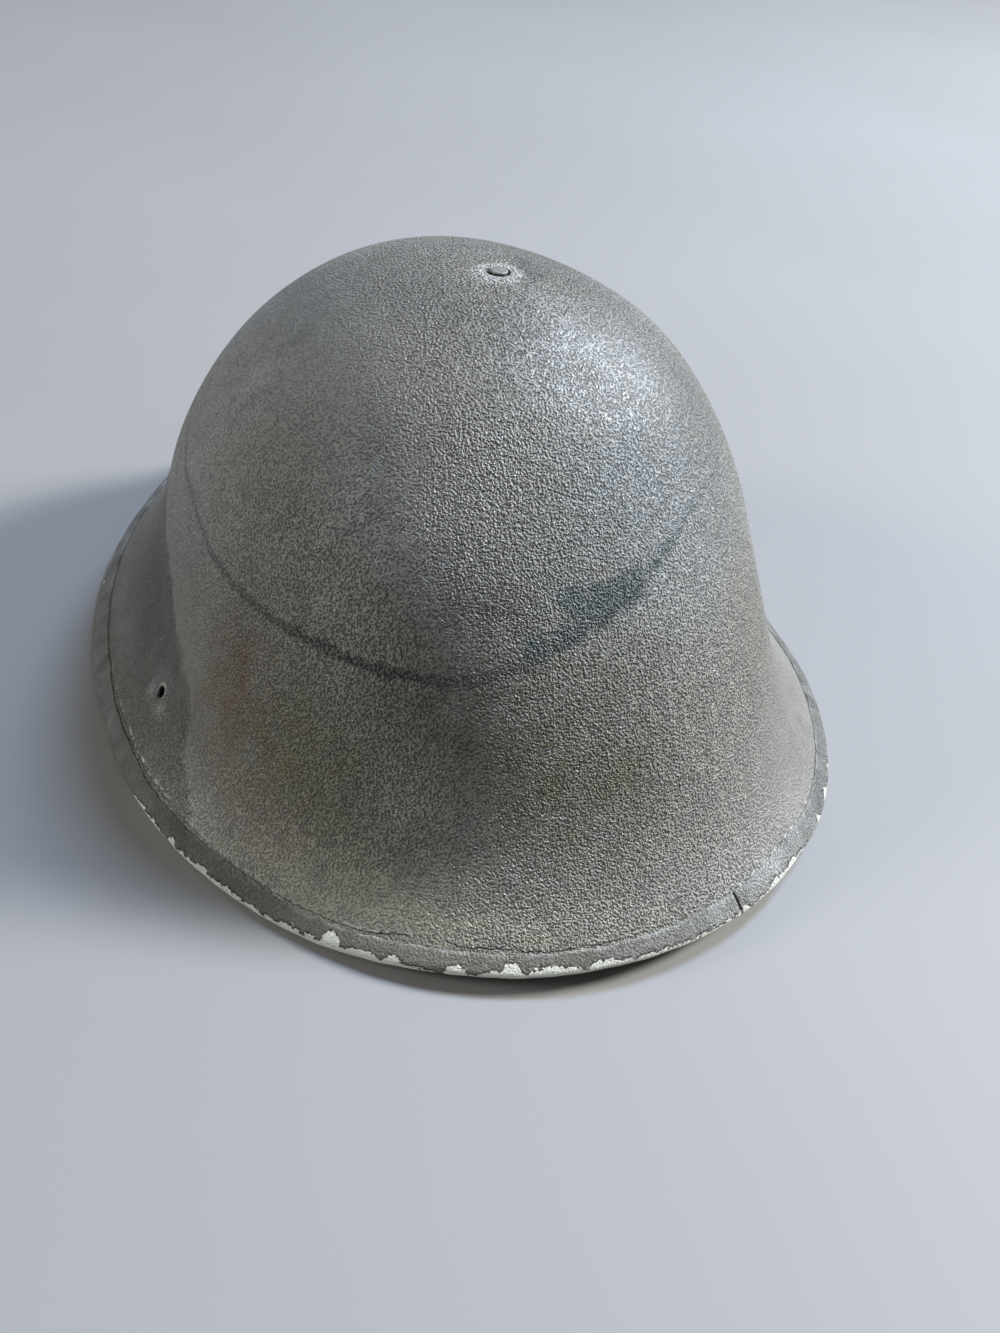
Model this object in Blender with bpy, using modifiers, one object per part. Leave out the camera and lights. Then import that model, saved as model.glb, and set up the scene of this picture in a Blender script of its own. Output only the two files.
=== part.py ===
"""A deep steel combat helmet: a pressed shell with a flared brim, a folded strip round its rim and a crown rivet.

Lengths are in metres. +Z is up, the sloping neck end points to -Y and the fuller brow end to +Y. The origin lies
under the middle of the helmet, on the surface that its rim rests on.
"""

import math

import bmesh
import bpy
import numpy as np
from mathutils import Vector

# The helmet's outside, measured from the crown rivet's axis to the rim band's outer edge
HALF_WIDTH = 0.125
NECK_REACH = 0.140
BROW_REACH = 0.164
CROWN_HEIGHT = 0.144
# How far the rim lifts off the surface at each end, and how sharply the lift starts past the sides
NECK_RISE = 0.007
BROW_RISE = 0.0155
RISE_POWER = 4
# The steel sheet of the shell
SHEET = 0.0012
# The strip folded round the rim: its sheet, the width of each leg, its fit, the slit and where the slit is
BAND_SHEET = 0.0007
BAND_WIDTH = 0.0070
BAND_FIT = 0.0003
BAND_SLIT = 0.0008
BAND_SLIT_ANGLE = math.radians(6)
# The dish pressed into the crown
DISH_DEPTH = 0.0007
DISH_RADIUS = 0.0075
# The rivet: outer head, shank, inner head, and its clearance to the sheet
RIVET_HEAD_RADIUS = 0.0033
RIVET_HEAD_THICKNESS = 0.0009
RIVET_SHANK_RADIUS = 0.0018
RIVET_INNER_RADIUS = 0.0042
RIVET_INNER_THICKNESS = 0.0012
RIVET_FIT = 0.0003
# The hole for a strap lug at each side: its size, its distance up the wall from the rim, its angle past the side
LUG_HOLE_RADIUS = 0.0019
LUG_HOLE_RISE = 0.025
LUG_HOLE_ANGLE = math.radians(5)

# Facets round the helmet, and parts of a table row between two rings of the shell
SIDES = 72
RINGS_PER_ROW = 2
FOLD_FACETS = 4
ROUND_SIDES = 24

# The wall from crown to rim. Height is a share of the crown's height over the rim, and the other columns are shares
# of the rim's reach at the neck end, the sides and the brow end.
COLUMNS = ("height", "neck", "side", "brow")
ROWS = (
    (1.000, 0.000, 0.000, 0.000),
    (0.985, 0.125, 0.150, 0.150),
    (0.940, 0.250, 0.300, 0.295),
    (0.860, 0.370, 0.440, 0.435),
    (0.740, 0.475, 0.565, 0.570),
    (0.600, 0.580, 0.660, 0.685),
    (0.450, 0.680, 0.715, 0.785),
    (0.330, 0.755, 0.750, 0.835),
    (0.235, 0.810, 0.780, 0.865),
    (0.155, 0.860, 0.820, 0.895),
    (0.080, 0.920, 0.890, 0.940),
    (0.000, 1.000, 1.000, 1.000),
)
SECTION = dict(zip(COLUMNS, np.array(ROWS).T))
LAST_ROW = len(ROWS) - 1


def clear_scene():
    for obj in list(bpy.data.objects):
        bpy.data.objects.remove(obj, do_unlink=True)


def collection_named(name):
    collection = bpy.data.collections.new(name)
    bpy.context.scene.collection.children.link(collection)
    return collection


def material_named(name, colour, roughness, metallic):
    material = bpy.data.materials.new(name)
    material.use_nodes = True
    shader = material.node_tree.nodes["Principled BSDF"]
    shader.inputs["Base Color"].default_value = (*colour, 1.0)
    shader.inputs["Roughness"].default_value = roughness
    shader.inputs["Metallic"].default_value = metallic
    return material


def smooth(column, row):
    """A column of the table read at fractional rows, on a cubic through the entries (Catmull-Rom).

    Past the crown the heights mirror and the reaches change sign, so the dome is level and round there.
    """
    entries = SECTION[column]
    before = entries[1] if column == "height" else -entries[1]
    after = 2 * entries[-1] - entries[-2]
    padded = np.concatenate([[before], entries, [after]])
    start = np.clip(np.floor(row).astype(int), 0, LAST_ROW - 1)
    t = row - start
    a, b, c, d = (padded[start + k] for k in range(4))
    return b + t / 2 * (c - a + t * (2 * a - 5 * b + 4 * c - d + t * (3 * (b - c) + d - a)))


def wall_point(angle, row):
    """The shell's outer surface. Angle runs from the neck end towards +X, and row runs down the table.

    Reach is the rim's ellipse times the table's share, blended by the squares of the angle's cosine and sine.
    """
    across, along = np.sin(angle), np.cos(angle)
    neck, brow = np.clip(along, 0, None), np.clip(-along, 0, None)
    reach = 1 / np.sqrt((neck / NECK_REACH) ** 2 + (brow / BROW_REACH) ** 2 + (across / HALF_WIDTH) ** 2)
    share = neck**2 * smooth("neck", row) + brow**2 * smooth("brow", row) + across**2 * smooth("side", row)
    radius = reach * share
    rim = NECK_RISE * neck**RISE_POWER + BROW_RISE * brow**RISE_POWER
    height = rim + (CROWN_HEIGHT - rim) * smooth("height", row)
    height = height - DISH_DEPTH * np.exp(-((radius / DISH_RADIUS) ** 4))
    return np.stack([radius * across, -radius * along, height], axis=-1)


def wall_directions(angle, row, step=0.01):
    """Unit vectors at a point of the wall: along the rim, up the wall, and outwards."""
    along = wall_point(angle + step, row) - wall_point(angle - step, row)
    along /= np.linalg.norm(along, axis=-1, keepdims=True)
    up = wall_point(angle, row - step) - wall_point(angle, row + step)
    up -= along * np.sum(up * along, axis=-1, keepdims=True)
    up /= np.linalg.norm(up, axis=-1, keepdims=True)
    return along, up, np.cross(along, up)


def row_above_rim(angle, distance):
    """The table row that lies this distance up the wall from the rim line, summed along short chords."""
    rows = np.linspace(LAST_ROW, LAST_ROW - 4, 161)
    chain = wall_point(angle, rows)
    run = np.concatenate([[0.0], np.cumsum(np.linalg.norm(np.diff(chain, axis=0), axis=1))])
    return float(np.interp(distance, run, rows))


def fold_radius():
    """Outer radius of the band's fold, which wraps half the sheet, the fit and the strip."""
    return SHEET / 2 + BAND_FIT + BAND_SHEET


def band_section(angle):
    """Outer and inner points of the strip's U section, from the upper leg's end round the fold to the lower one's."""
    clear, full = BAND_FIT, BAND_FIT + BAND_SHEET
    leg = row_above_rim(angle, BAND_WIDTH)
    fold = row_above_rim(angle, fold_radius())
    fold_base = wall_point(angle, fold)
    leg_base = wall_point(angle, leg)
    fold_up, fold_out = wall_directions(angle, fold)[1:]
    leg_out = wall_directions(angle, leg)[2]
    centre = fold_base - fold_out * SHEET / 2
    outer = [leg_base + leg_out * full]
    inner = [leg_base + leg_out * clear]
    for turn in np.linspace(0, math.pi, FOLD_FACETS + 1):
        ray = fold_out * math.cos(turn) - fold_up * math.sin(turn)
        outer.append(centre + ray * (SHEET / 2 + full))
        inner.append(centre + ray * (SHEET / 2 + clear))
    outer.append(leg_base - leg_out * (SHEET + full))
    inner.append(leg_base - leg_out * (SHEET + clear))
    return np.array(outer), np.array(inner)


def band_angles():
    """Angles of the strip's sections, from one side of the slit right round to the other."""
    slit_reach = np.linalg.norm(wall_point(BAND_SLIT_ANGLE, LAST_ROW)[:2])
    half_slit = BAND_SLIT / 2 / slit_reach
    return np.linspace(BAND_SLIT_ANGLE + half_slit, BAND_SLIT_ANGLE + 2 * math.pi - half_slit, SIDES + 1)


def placement(sections):
    """The move that sets the band's lowest point on the surface and centres the helmet end to end."""
    lowest = min(float(outer[:, 2].min()) for outer, inner in sections)
    return np.array([0.0, (NECK_REACH - BROW_REACH) / 2, -lowest])


def mesh_object(name, points, faces, material, collection):
    mesh = bpy.data.meshes.new(name)
    mesh.from_pydata([tuple(map(float, point)) for point in points], [], faces)
    mesh.materials.append(material)
    mesh.shade_smooth()
    obj = bpy.data.objects.new(name, mesh)
    collection.objects.link(obj)
    return obj


def cutter_cylinder(name, radius, centre, direction, collection):
    """A cylinder through the wall, longer than the sheet is thick."""
    mesh = bpy.data.meshes.new(name)
    shape = bmesh.new()
    bmesh.ops.create_cone(shape, cap_ends=True, segments=ROUND_SIDES, radius1=radius, radius2=radius, depth=12 * SHEET)
    shape.to_mesh(mesh)
    shape.free()
    obj = bpy.data.objects.new(name, mesh)
    obj.location = Vector(map(float, centre))
    obj.rotation_euler = Vector(map(float, direction)).to_track_quat("Z", "Y").to_euler()
    obj.hide_render = True
    obj.display_type = "WIRE"
    collection.objects.link(obj)
    return obj


def cut(obj, cutter):
    modifier = obj.modifiers.new("cut_" + cutter.name, "BOOLEAN")
    modifier.operation = "DIFFERENCE"
    modifier.solver = "EXACT"
    modifier.object = cutter


def make_shell(move, material, parts, cutters):
    """The outer surface as rings of points from the crown down to the fold of the band, given its wall by Solidify."""
    rings = [np.full(SIDES, k / RINGS_PER_ROW) for k in range(1, RINGS_PER_ROW * LAST_ROW)]
    angles = BAND_SLIT_ANGLE + np.arange(SIDES) * 2 * math.pi / SIDES
    rings.append(np.array([row_above_rim(angle, fold_radius()) for angle in angles]))
    points = [wall_point(0.0, 0.0)]
    for ring in rings:
        points.extend(wall_point(angles, ring))
    faces = []
    for side in range(SIDES):
        following = (side + 1) % SIDES
        faces.append((0, 1 + side, 1 + following))
        for ring in range(len(rings) - 1):
            upper, lower = 1 + ring * SIDES, 1 + (ring + 1) * SIDES
            faces.append((upper + side, lower + side, lower + following, upper + following))
    shell = mesh_object("helmet_shell", np.array(points) + move, faces, material, parts)
    wall = shell.modifiers.new("wall", "SOLIDIFY")
    wall.thickness = SHEET
    wall.offset = -1
    wall.use_even_offset = True
    crown = wall_point(0.0, 0.0) + move
    cut(shell, cutter_cylinder("crown_hole", RIVET_SHANK_RADIUS + RIVET_FIT, crown, (0, 0, 1), cutters))
    for name, side in (("left", -1), ("right", 1)):
        angle = side * (math.pi / 2 + LUG_HOLE_ANGLE)
        row = row_above_rim(angle, LUG_HOLE_RISE)
        centre = wall_point(angle, row) + move
        outwards = wall_directions(angle, row)[2]
        cut(shell, cutter_cylinder("lug_hole_" + name, LUG_HOLE_RADIUS, centre, outwards, cutters))
    return shell


def make_band(sections, move, material, parts):
    """The strip as one U section carried round the rim, with flat ends at the slit."""
    folds = len(sections[0][0])
    points = np.concatenate([np.concatenate([outer, inner[::-1]]) for outer, inner in sections]) + move
    loop = 2 * folds
    faces = []
    for section in range(len(sections) - 1):
        here, there = section * loop, (section + 1) * loop
        for k in range(loop):
            following = (k + 1) % loop
            faces.append((here + k, here + following, there + following, there + k))
    last = (len(sections) - 1) * loop
    for k in range(folds - 1):
        faces.append((loop - 1 - k, loop - 2 - k, k + 1, k))
        faces.append((last + k, last + k + 1, last + loop - 2 - k, last + loop - 1 - k))
    return mesh_object("rim_band", points, faces, material, parts)


def make_rivet(move, material, parts):
    """A turned rivet: the profile runs down from the middle of the outer head to the middle of the inner one."""
    seat = float(wall_point(0.0, 0.0)[2])
    top = seat + RIVET_FIT + RIVET_HEAD_THICKNESS
    under = seat + RIVET_FIT
    inside = seat - SHEET - RIVET_FIT
    bottom = inside - RIVET_INNER_THICKNESS
    chamfer = RIVET_HEAD_THICKNESS / 3
    profile = (
        (0.0, top),
        (RIVET_HEAD_RADIUS - chamfer, top),
        (RIVET_HEAD_RADIUS, top - chamfer),
        (RIVET_HEAD_RADIUS, under),
        (RIVET_SHANK_RADIUS, under),
        (RIVET_SHANK_RADIUS, inside),
        (RIVET_INNER_RADIUS, inside),
        (RIVET_INNER_RADIUS, bottom),
        (0.0, bottom),
    )
    edges = [(k, k + 1) for k in range(len(profile) - 1)]
    mesh = bpy.data.meshes.new("crown_rivet")
    mesh.from_pydata([(radius, 0.0, height) for radius, height in profile], edges, [])
    mesh.materials.append(material)
    rivet = bpy.data.objects.new("crown_rivet", mesh)
    rivet.location = Vector(map(float, move))
    parts.objects.link(rivet)
    turn = rivet.modifiers.new("turn", "SCREW")
    turn.steps = ROUND_SIDES
    turn.render_steps = ROUND_SIDES
    turn.use_merge_vertices = True
    turn.merge_threshold = 0.00001
    return rivet


def main():
    clear_scene()
    parts = collection_named("steel_combat_helmet")
    cutters = collection_named("cutters")
    shell_paint = material_named("textured_shell_paint", (0.112, 0.112, 0.107), 0.62, 0.0)
    band_paint = material_named("rim_band_paint", (0.082, 0.084, 0.083), 0.55, 0.0)
    rivet_steel = material_named("worn_rivet_steel", (0.22, 0.22, 0.21), 0.5, 0.6)
    sections = [band_section(angle) for angle in band_angles()]
    move = placement(sections)
    make_shell(move, shell_paint, parts, cutters)
    make_band(sections, move, band_paint, parts)
    make_rivet(move, rivet_steel, parts)


main()
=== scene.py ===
# %% [markdown]
# # Dressing a deep steel helmet
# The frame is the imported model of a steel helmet: a pressed shell, a strip folded round its rim and a crown rivet.
# This lesson gives each of them a finer surface and the finish of an old, painted, much handled helmet.
# Everything is in metres, with +Z up, the sloping neck end towards -Y and the fuller brow end towards +Y.

import math

import bpy
import numpy as np
from mathutils import Matrix, Vector


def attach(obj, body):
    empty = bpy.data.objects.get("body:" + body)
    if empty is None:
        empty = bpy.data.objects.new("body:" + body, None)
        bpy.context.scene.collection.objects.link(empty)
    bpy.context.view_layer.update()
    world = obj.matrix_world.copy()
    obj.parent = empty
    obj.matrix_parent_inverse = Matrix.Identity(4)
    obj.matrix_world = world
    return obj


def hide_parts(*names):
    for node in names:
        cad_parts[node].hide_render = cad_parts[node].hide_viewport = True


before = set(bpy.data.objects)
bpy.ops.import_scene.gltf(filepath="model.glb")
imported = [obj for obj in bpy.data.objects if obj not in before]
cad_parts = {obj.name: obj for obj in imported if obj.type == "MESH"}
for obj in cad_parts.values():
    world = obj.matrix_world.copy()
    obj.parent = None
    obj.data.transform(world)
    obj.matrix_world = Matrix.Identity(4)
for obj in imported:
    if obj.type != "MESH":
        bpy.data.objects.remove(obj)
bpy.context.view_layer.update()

# %% [markdown]
# ## Camera
# A photograph taken by hand looks down at the helmet and leans a little to one side. The camera could be placed by
# eye with a Track To constraint, but then the lean and the lens would be guesses. Here the lens is kept as a focal
# length in pixels, and the place and the three angles are plain numbers, so the view can be repeated exactly.

# %% Camera
FRAME_HEIGHT = 1333
FOCAL_PIXELS = 1089.6
CAMERA_PLACE = (-0.1623, -0.2687, 0.2603)
CAMERA_ELEVATION = math.radians(40.65)
CAMERA_AZIMUTH = math.radians(-34.90)
CAMERA_ROLL = math.radians(-6.87)


def camera_matrix():
    """Place and turn of the camera: it looks back along the direction that azimuth and elevation give, then rolls."""
    back = Vector((
        math.sin(CAMERA_AZIMUTH) * math.cos(CAMERA_ELEVATION),
        -math.cos(CAMERA_AZIMUTH) * math.cos(CAMERA_ELEVATION),
        math.sin(CAMERA_ELEVATION),
    ))
    right = Vector((0, 0, 1)).cross(back).normalized()
    turn = Matrix((right, back.cross(right), back)).transposed().to_4x4()
    return Matrix.Translation(CAMERA_PLACE) @ turn @ Matrix.Rotation(-CAMERA_ROLL, 4, "Z")


lens = bpy.data.cameras.new("photo_camera")
lens.sensor_width = 36
lens.lens = FOCAL_PIXELS * lens.sensor_width / FRAME_HEIGHT
lens.clip_start = 0.01
camera = bpy.data.objects.new("photo_camera", lens)
camera.matrix_world = camera_matrix()
bpy.context.scene.collection.objects.link(camera)
bpy.context.scene.camera = camera
print("lens in mm:", round(lens.lens, 2))

# %% [markdown]
# ## One helper for nodes, one for colours
# Every finish below is a small tree of shader nodes. The helper makes a node, sets its settings, and then links or
# sets its inputs, so that each node of a tree is one line. The row of a noise is its place, its waves per metre,
# its detail and its roughness. Colours are written as the screen shows them and are turned to the linear values
# that the shader needs.

# %% Helpers
def add(tree, kind, inputs=(), **settings):
    """Adds a node with its settings. The inputs are values by name, or a row of values for the inputs that show.

    A socket is linked, a node is linked by the first of its outputs that shows, and any other value is set.
    """
    node = tree.nodes.new("ShaderNode" + kind)
    for name, value in settings.items():
        setattr(node, name, value)
    shown = [number for number, socket in enumerate(node.inputs) if socket.enabled]
    for name, value in inputs.items() if isinstance(inputs, dict) else zip(shown, inputs):
        if isinstance(value, bpy.types.Node):
            value = next(socket for socket in value.outputs if socket.enabled)
        if isinstance(value, bpy.types.NodeSocket):
            tree.links.new(value, node.inputs[name])
        else:
            node.inputs[name].default_value = value
    return node


def linear(code):
    """An sRGB hex colour as linear red, green, blue and alpha: a power of 2.4 above a short straight toe."""
    parts = np.array([int(code[k:k + 2], 16) for k in (1, 3, 5)]) / 255
    parts = np.where(parts > 0.04045, ((parts + 0.055) / 1.055) ** 2.4, parts / 12.92)
    return (*map(float, parts), 1.0)


def empty_material(name):
    """A new material with no nodes in its tree."""
    material = bpy.data.materials.new(name)
    material.use_nodes = True
    material.node_tree.nodes.clear()
    return material


# %% [markdown]
# ## Floor, lights and sky
# The helmet stands on a plain pale table. Three large soft lights stand 3 m away. The window light, towards +X,
# leaves the left side in shade. A cooler one high above it gives the broad shine on the right of the dome. A weak
# one towards -X and a pale grey sky fill the shade.

# %% Floor
floor_mesh = bpy.data.meshes.new("floor")
floor_mesh.from_pydata([(-6, -6, 0), (6, -6, 0), (6, 6, 0), (-6, 6, 0)], [], [(0, 1, 2, 3)])
floor = bpy.data.objects.new("floor", floor_mesh)
bpy.context.scene.collection.objects.link(floor)

floor_paint = empty_material("pale_matt_table_top")
tree = floor_paint.node_tree
place = add(tree, "TexCoord")
cloud = add(tree, "TexNoise", (place.outputs["Object"], 3.0, 3.0))
tone = add(tree, "Mix", (cloud, linear("#7f7e7c"), linear("#888785")), data_type="RGBA")
skin = add(tree, "BsdfPrincipled", {"Base Color": tone, "Roughness": 0.7})
add(tree, "OutputMaterial", {"Surface": skin})
floor_mesh.materials.append(floor_paint)

# %% Lights
LIGHT_DISTANCE = 3.0
AIM_HEIGHT = 0.06


def soft_light(name, direction, size, watts, colour):
    """A square area light of that size, set in that direction from the helmet and facing it."""
    data = bpy.data.lights.new(name, "AREA")
    data.shape = "SQUARE"
    data.size = size
    data.energy = watts
    data.color = linear(colour)[:3]
    light = bpy.data.objects.new(name, data)
    away = Vector(direction).normalized()
    stand = Matrix.Translation(away * LIGHT_DISTANCE + Vector((0, 0, AIM_HEIGHT)))
    light.matrix_world = stand @ away.to_track_quat("Z", "Y").to_matrix().to_4x4()
    bpy.context.scene.collection.objects.link(light)


soft_light("window_light", (0.80, -0.25, 0.56), 0.6, 178, "#fffefa")
soft_light("far_window_light", (0.545, 0.105, 0.83), 0.6, 112, "#c2d9ff")
soft_light("back_light", (-0.78, 0.30, 0.42), 0.8, 42, "#fffffc")

sky = bpy.data.worlds.new("pale_sky")
sky.use_nodes = True
background = sky.node_tree.nodes["Background"]
background.inputs["Color"].default_value = linear("#e4e4e2")
background.inputs["Strength"].default_value = 0.24
bpy.context.scene.world = sky
bpy.context.scene.view_settings.view_transform = "Standard"

# %% [markdown]
# ## The wall as a formula
# A pressed shell has no edges to draw: its shape is a family of sections from crown to rim. The rim is an ellipse
# with a short half at the neck and a long half at the brow. A table says how far out the wall has come at each
# height, at the neck, at the sides and at the brow. In between, the three columns are blended by the squares of
# the sine and cosine of the angle. These are the numbers that the frame's own shell was made from.

# %% Sizes and sections
HALF_WIDTH = 0.125
NECK_REACH = 0.140
BROW_REACH = 0.164
CROWN_HEIGHT = 0.144
NECK_RISE = 0.007
BROW_RISE = 0.0155
RISE_POWER = 4
SHEET = 0.0012
BAND_SHEET = 0.0007
BAND_FIT = 0.0003
FOLD_RADIUS = SHEET / 2 + BAND_FIT + BAND_SHEET
DISH_DEPTH = 0.0007
DISH_RADIUS = 0.0075
LOWEST = 0.0010119
MOVE = np.array([0.0, (NECK_REACH - BROW_REACH) / 2, LOWEST])

# height, neck, side, brow
ROWS = np.array((
    (1.000, 0.000, 0.000, 0.000),
    (0.985, 0.125, 0.150, 0.150),
    (0.940, 0.250, 0.300, 0.295),
    (0.860, 0.370, 0.440, 0.435),
    (0.740, 0.475, 0.565, 0.570),
    (0.600, 0.580, 0.660, 0.685),
    (0.450, 0.680, 0.715, 0.785),
    (0.330, 0.755, 0.750, 0.835),
    (0.235, 0.810, 0.780, 0.865),
    (0.155, 0.860, 0.820, 0.895),
    (0.080, 0.920, 0.890, 0.940),
    (0.000, 1.000, 1.000, 1.000),
))
HEIGHT, NECK, SIDE, BROW = range(4)
LAST_ROW = len(ROWS) - 1


def smooth(column, row):
    """A column of the table at fractional rows, on a cubic through four entries (Catmull-Rom)."""
    entries = ROWS[:, column]
    before = entries[1] if column == HEIGHT else -entries[1]
    padded = np.concatenate([[before], entries, [2 * entries[-1] - entries[-2]]])
    start = np.clip(np.floor(row).astype(int), 0, LAST_ROW - 1)
    t = row - start
    a, b, c, d = (padded[start + k] for k in range(4))
    return b + t / 2 * (c - a + t * (2 * a - 5 * b + 4 * c - d + t * (3 * (b - c) + d - a)))


def wall_point(angle, row):
    """The outer surface, before it is moved. Angle runs from the neck end towards +X, and row runs down the table.

    Reach is the rim's ellipse times the table's share. Height is the rim's rise plus the table's share of the rest,
    less the shallow dish round the crown rivet.
    """
    across, along = np.sin(angle), np.cos(angle)
    neck, brow = np.clip(along, 0, None), np.clip(-along, 0, None)
    reach = 1 / np.sqrt((neck / NECK_REACH) ** 2 + (brow / BROW_REACH) ** 2 + (across / HALF_WIDTH) ** 2)
    share = neck**2 * smooth(NECK, row) + brow**2 * smooth(BROW, row) + across**2 * smooth(SIDE, row)
    radius = reach * share
    rim = NECK_RISE * neck**RISE_POWER + BROW_RISE * brow**RISE_POWER
    height = rim + (CROWN_HEIGHT - rim) * smooth(HEIGHT, row) - DISH_DEPTH * np.exp(-((radius / DISH_RADIUS) ** 4))
    return np.stack([radius * across, -radius * along, height], axis=-1)


def wall_directions(angle, row, step=0.01):
    """Unit vectors at a point of the wall, by differences: along the rim, up the wall, and outwards."""
    along = wall_point(angle + step, row) - wall_point(angle - step, row)
    along /= np.linalg.norm(along, axis=-1, keepdims=True)
    up = wall_point(angle, row - step) - wall_point(angle, row + step)
    up -= along * np.sum(up * along, axis=-1, keepdims=True)
    up /= np.linalg.norm(up, axis=-1, keepdims=True)
    return along, up, np.cross(along, up)


def rise_of(angle, row):
    """Distance up the wall from the rim line: the sum of 24 chords between the rim and that row."""
    share = np.linspace(0, 1, 25)
    rows = np.asarray(row)[..., None] * share + LAST_ROW * (1 - share)
    chain = wall_point(np.asarray(angle)[..., None], rows)
    return np.linalg.norm(np.diff(chain, axis=-2), axis=-1).sum(axis=-1)


def row_at(angle, rise):
    """The row that lies that far up the wall: a first guess, mended six times by its error over the local spacing."""
    angle, rise = np.broadcast_arrays(np.asarray(angle, float), np.asarray(rise, float))
    row = LAST_ROW - rise / 0.015
    for _ in range(6):
        spacing = (rise_of(angle, row - 0.05) - rise_of(angle, row)) / 0.05
        row = row + (rise_of(angle, row) - rise) / spacing
    return row


print("side height of the wall in mm:", round(float(rise_of(math.pi / 2, 0.02)) * 1000, 1))

# %% [markdown]
# ## Dents and wander
# A helmet that has been dropped and stacked has no perfect curve left. The rim is pushed about by up to a
# millimetre in a few places, and the wall has soft shallow dents. Sculpting them by hand would not follow a change
# of size, so each is a row of a table: where it is, how wide it is and how deep. A third table is the course of
# the crease where the dome meets the flared flange.

# %% Dents
# angle from the neck end in degrees, half width in degrees, push outwards and push down in metres
RIM_PUSHES = (
    (-98, 5, -0.0004, 0), (-48, 9, 0.0001, 0.00075), (-21, 6, 0.0001, 0.00045), (-4, 14, -0.0001, 0.00085),
    (1, 4, -0.0001, 0.0003), (18.5, 5, -0.0003, -0.0010), (45, 8, 0.0001, 0.0003), (71, 6, -0.0006, 0),
    (128, 7, -0.0006, 0.0002), (152, 8, -0.0002, 0.0008), (-150, 8, -0.0006, 0.0005),
)
# angle in degrees, distance up the wall, half width, depth, all in metres
DENTS = (
    (-60, 0.050, 0.014, 0.0005), (-20, 0.120, 0.020, 0.0005), (12, 0.055, 0.012, 0.0004),
    (40, 0.090, 0.018, 0.0005), (-128, 0.100, 0.016, 0.0006), (110, 0.070, 0.016, 0.0006),
    (160, 0.110, 0.020, 0.0007), (-165, 0.050, 0.013, 0.0005),
)


# where the dome meets the flared flange: angle in degrees, distance up the wall in mm
CREASE = np.array((
    (-180, 44), (-150, 58), (-125.5, 57), (-114, 54), (-103.5, 46.5), (-98.3, 43), (-93.5, 40), (-88.8, 37.5),
    (-84.2, 29), (-81, 19), (-72, 8), (-60, -6), (60, -6), (72, 8), (81, 19), (93.5, 32.5), (103.5, 43),
    (114, 54), (125.5, 57), (150, 58), (180, 44),
))
CREASE_DEPTH = 0.0005
CREASE_WIDTH = 0.0035
PUSH_FADE = 0.030
UNEVENNESS = 0.0001
CLEAR_OF_BAND = 0.010


def bell(one, other=0):
    """A soft bump that is one in the middle: e to the power of minus the squares of its two arguments."""
    return np.exp(-(one**2) - (other**2))


def read_round(table, angle, column=1):
    """A column of a table at an angle in radians, on straight lines between its rows, all the way round."""
    return np.interp(np.degrees(angle), table[:, 0], table[:, column], period=360)


def degrees_between(angle, centre):
    """How far an angle in radians is from a centre in degrees, in degrees, the short way round."""
    return (np.degrees(angle) - centre + 180) % 360 - 180


def above_crease(angle, rise):
    """Distance up the wall from the crease, in metres."""
    return rise - read_round(CREASE, angle) / 1000


def rim_push(angle, rise):
    """How far the rim is pushed outwards and down there: bells round the rim, fading over 30 mm up the wall."""
    out, down = 0, 0
    for at, width, outwards, downwards in RIM_PUSHES:
        push = bell(degrees_between(angle, at) / width) * bell(np.asarray(rise) / PUSH_FADE)
        out, down = out + outwards * push, down + downwards * push
    return np.stack([out * np.sin(angle), -out * np.cos(angle), -down], axis=-1)


def dent(angle, row, rise):
    """How far the wall is pushed in: slow waves of 0.1 mm, the crease and the table's bells, none under the band."""
    reach = np.linalg.norm(wall_point(angle, row)[..., :2], axis=-1)
    waves = np.sin(41 * reach * np.sin(angle) + 3 * rise / 0.05) + np.sin(37 * reach * np.cos(angle) + 1)
    depth = UNEVENNESS * (2 + waves) + CREASE_DEPTH * bell(above_crease(angle, rise) / CREASE_WIDTH)
    for at, up, width, most in DENTS:
        away = np.radians(degrees_between(angle, at)) * reach
        depth = depth + most * bell(away / width, (rise - up) / width)
    return depth * np.clip((rise - CLEAR_OF_BAND) / 0.015, 0, 1)


# %% [markdown]
# ## The grid of the shell
# The shell could be a lathe object, but it is not round, and a Boolean would leave long thin faces at the lug
# holes. Here a grid of columns round the helmet and rings down the wall is packed closer where there is detail: at
# the crown dish and at the two lug holes. Round each hole the square rings of the grid are bent into circles, and
# what lies inside the smallest circle is left out, so the hole's edge is a clean ring of points.

# %% Columns and rings
COLUMNS = 336
RINGS = 142
CROWN_HOLE_RADIUS = 0.0021
LUG_HOLE_RADIUS = 0.0019
LUG_HOLE_RISE = 0.025
LUG_HOLE_ANGLE = math.pi / 2 + math.radians(5)
HOLE_STEPS = 3
PATCH_STEPS = 10
PATCH_RADIUS = 0.0085


def spread(low, high, count, crowding):
    """Positions from low to high, closer together where crowding is larger: its running sum is cut evenly."""
    fine = np.linspace(low, high, 4001)
    run = np.concatenate([[0.0], np.cumsum(crowding((fine[1:] + fine[:-1]) / 2))])
    return np.interp(np.linspace(0, run[-1], count), run, fine)


def first_row(angle):
    """The row where the wall's radius is the crown hole's: a guess scaled to the right radius, four times."""
    row = np.full(np.shape(angle), 0.1)
    for _ in range(4):
        row = row * CROWN_HOLE_RADIUS / np.linalg.norm(wall_point(angle, row)[..., :2], axis=-1)
    return row


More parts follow.
